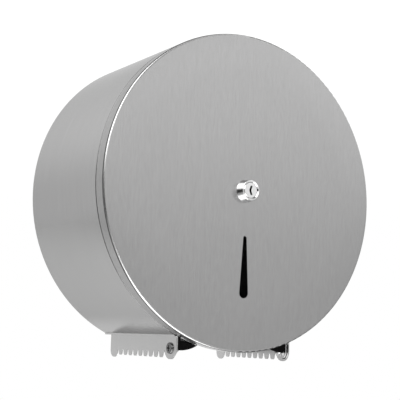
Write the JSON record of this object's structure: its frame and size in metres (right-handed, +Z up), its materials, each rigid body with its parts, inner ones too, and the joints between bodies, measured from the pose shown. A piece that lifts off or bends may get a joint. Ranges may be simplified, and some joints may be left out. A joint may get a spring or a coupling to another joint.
{
  "type": "jumbo toilet roll dispenser",
  "caption": "Round wall-mounted steel dispenser for jumbo toilet rolls, with a locking cover that hinges down, a turning roll hub and serrated tear blades.",
  "frame": {"origin": "centre of the back plate's wall face, on the axis of the drum", "axes": "+X to the right as seen from the room, +Y into the wall along the drum's axis, +Z up"},
  "size_m": [0.25, 0.133, 0.2574],
  "materials": {
    "satin_steel": "satin",
    "plain_steel": "mill",
    "bright_steel": "bright",
    "zinc": "zinc plate",
    "chrome": "polished",
    "black_plastic": "moulded",
    "grey_plastic": "moulded",
    "white_plastic": "moulded"
  },
  "bodies": {
    "housing": {"back_plate": "satin_steel", "drum_wall": "satin_steel", "spindle_base": "plain_steel", "spindle_post": "plain_steel", "latch_plate": "plain_steel", "base_rivets": "plain_steel", "thrust_washer": "white_plastic", "hinge_screws": "bright_steel", "hinge_washers": "bright_steel", "hinge_nuts": "bright_steel"},
    "cover": {"cover_shell": "satin_steel", "hinge_ear_left": "satin_steel", "hinge_ear_right": "satin_steel", "hinge_guard_left": "black_plastic", "hinge_guard_right": "black_plastic", "guard_rivets": "bright_steel", "lock_barrel": "chrome", "lock_washer": "zinc", "lock_nut": "zinc"},
    "lock_core": {"lock_plug": "chrome", "stop_washer": "zinc", "lock_cam": "zinc", "cam_washer": "zinc", "cam_screw": "zinc"},
    "hub": {"core_hub": "grey_plastic"}
  },
  "joints": [
    {"name": "cover_hinge", "type": "hinge", "parent": "housing", "child": "cover", "pos_m": [0, -0.1073, -0.1231], "axis": [1, 0, 0], "range_deg": [0, 180]},
    {"name": "lock_turn", "type": "hinge", "parent": "cover", "child": "lock_core", "pos_m": [0, -0.118, 0], "axis": [0, 1, 0], "range_deg": [0, 90]},
    {"name": "hub_spin", "type": "hinge", "parent": "housing", "child": "hub", "pos_m": [0, -0.055, 0], "axis": [0, 1, 0], "continuous": true}
  ]
}
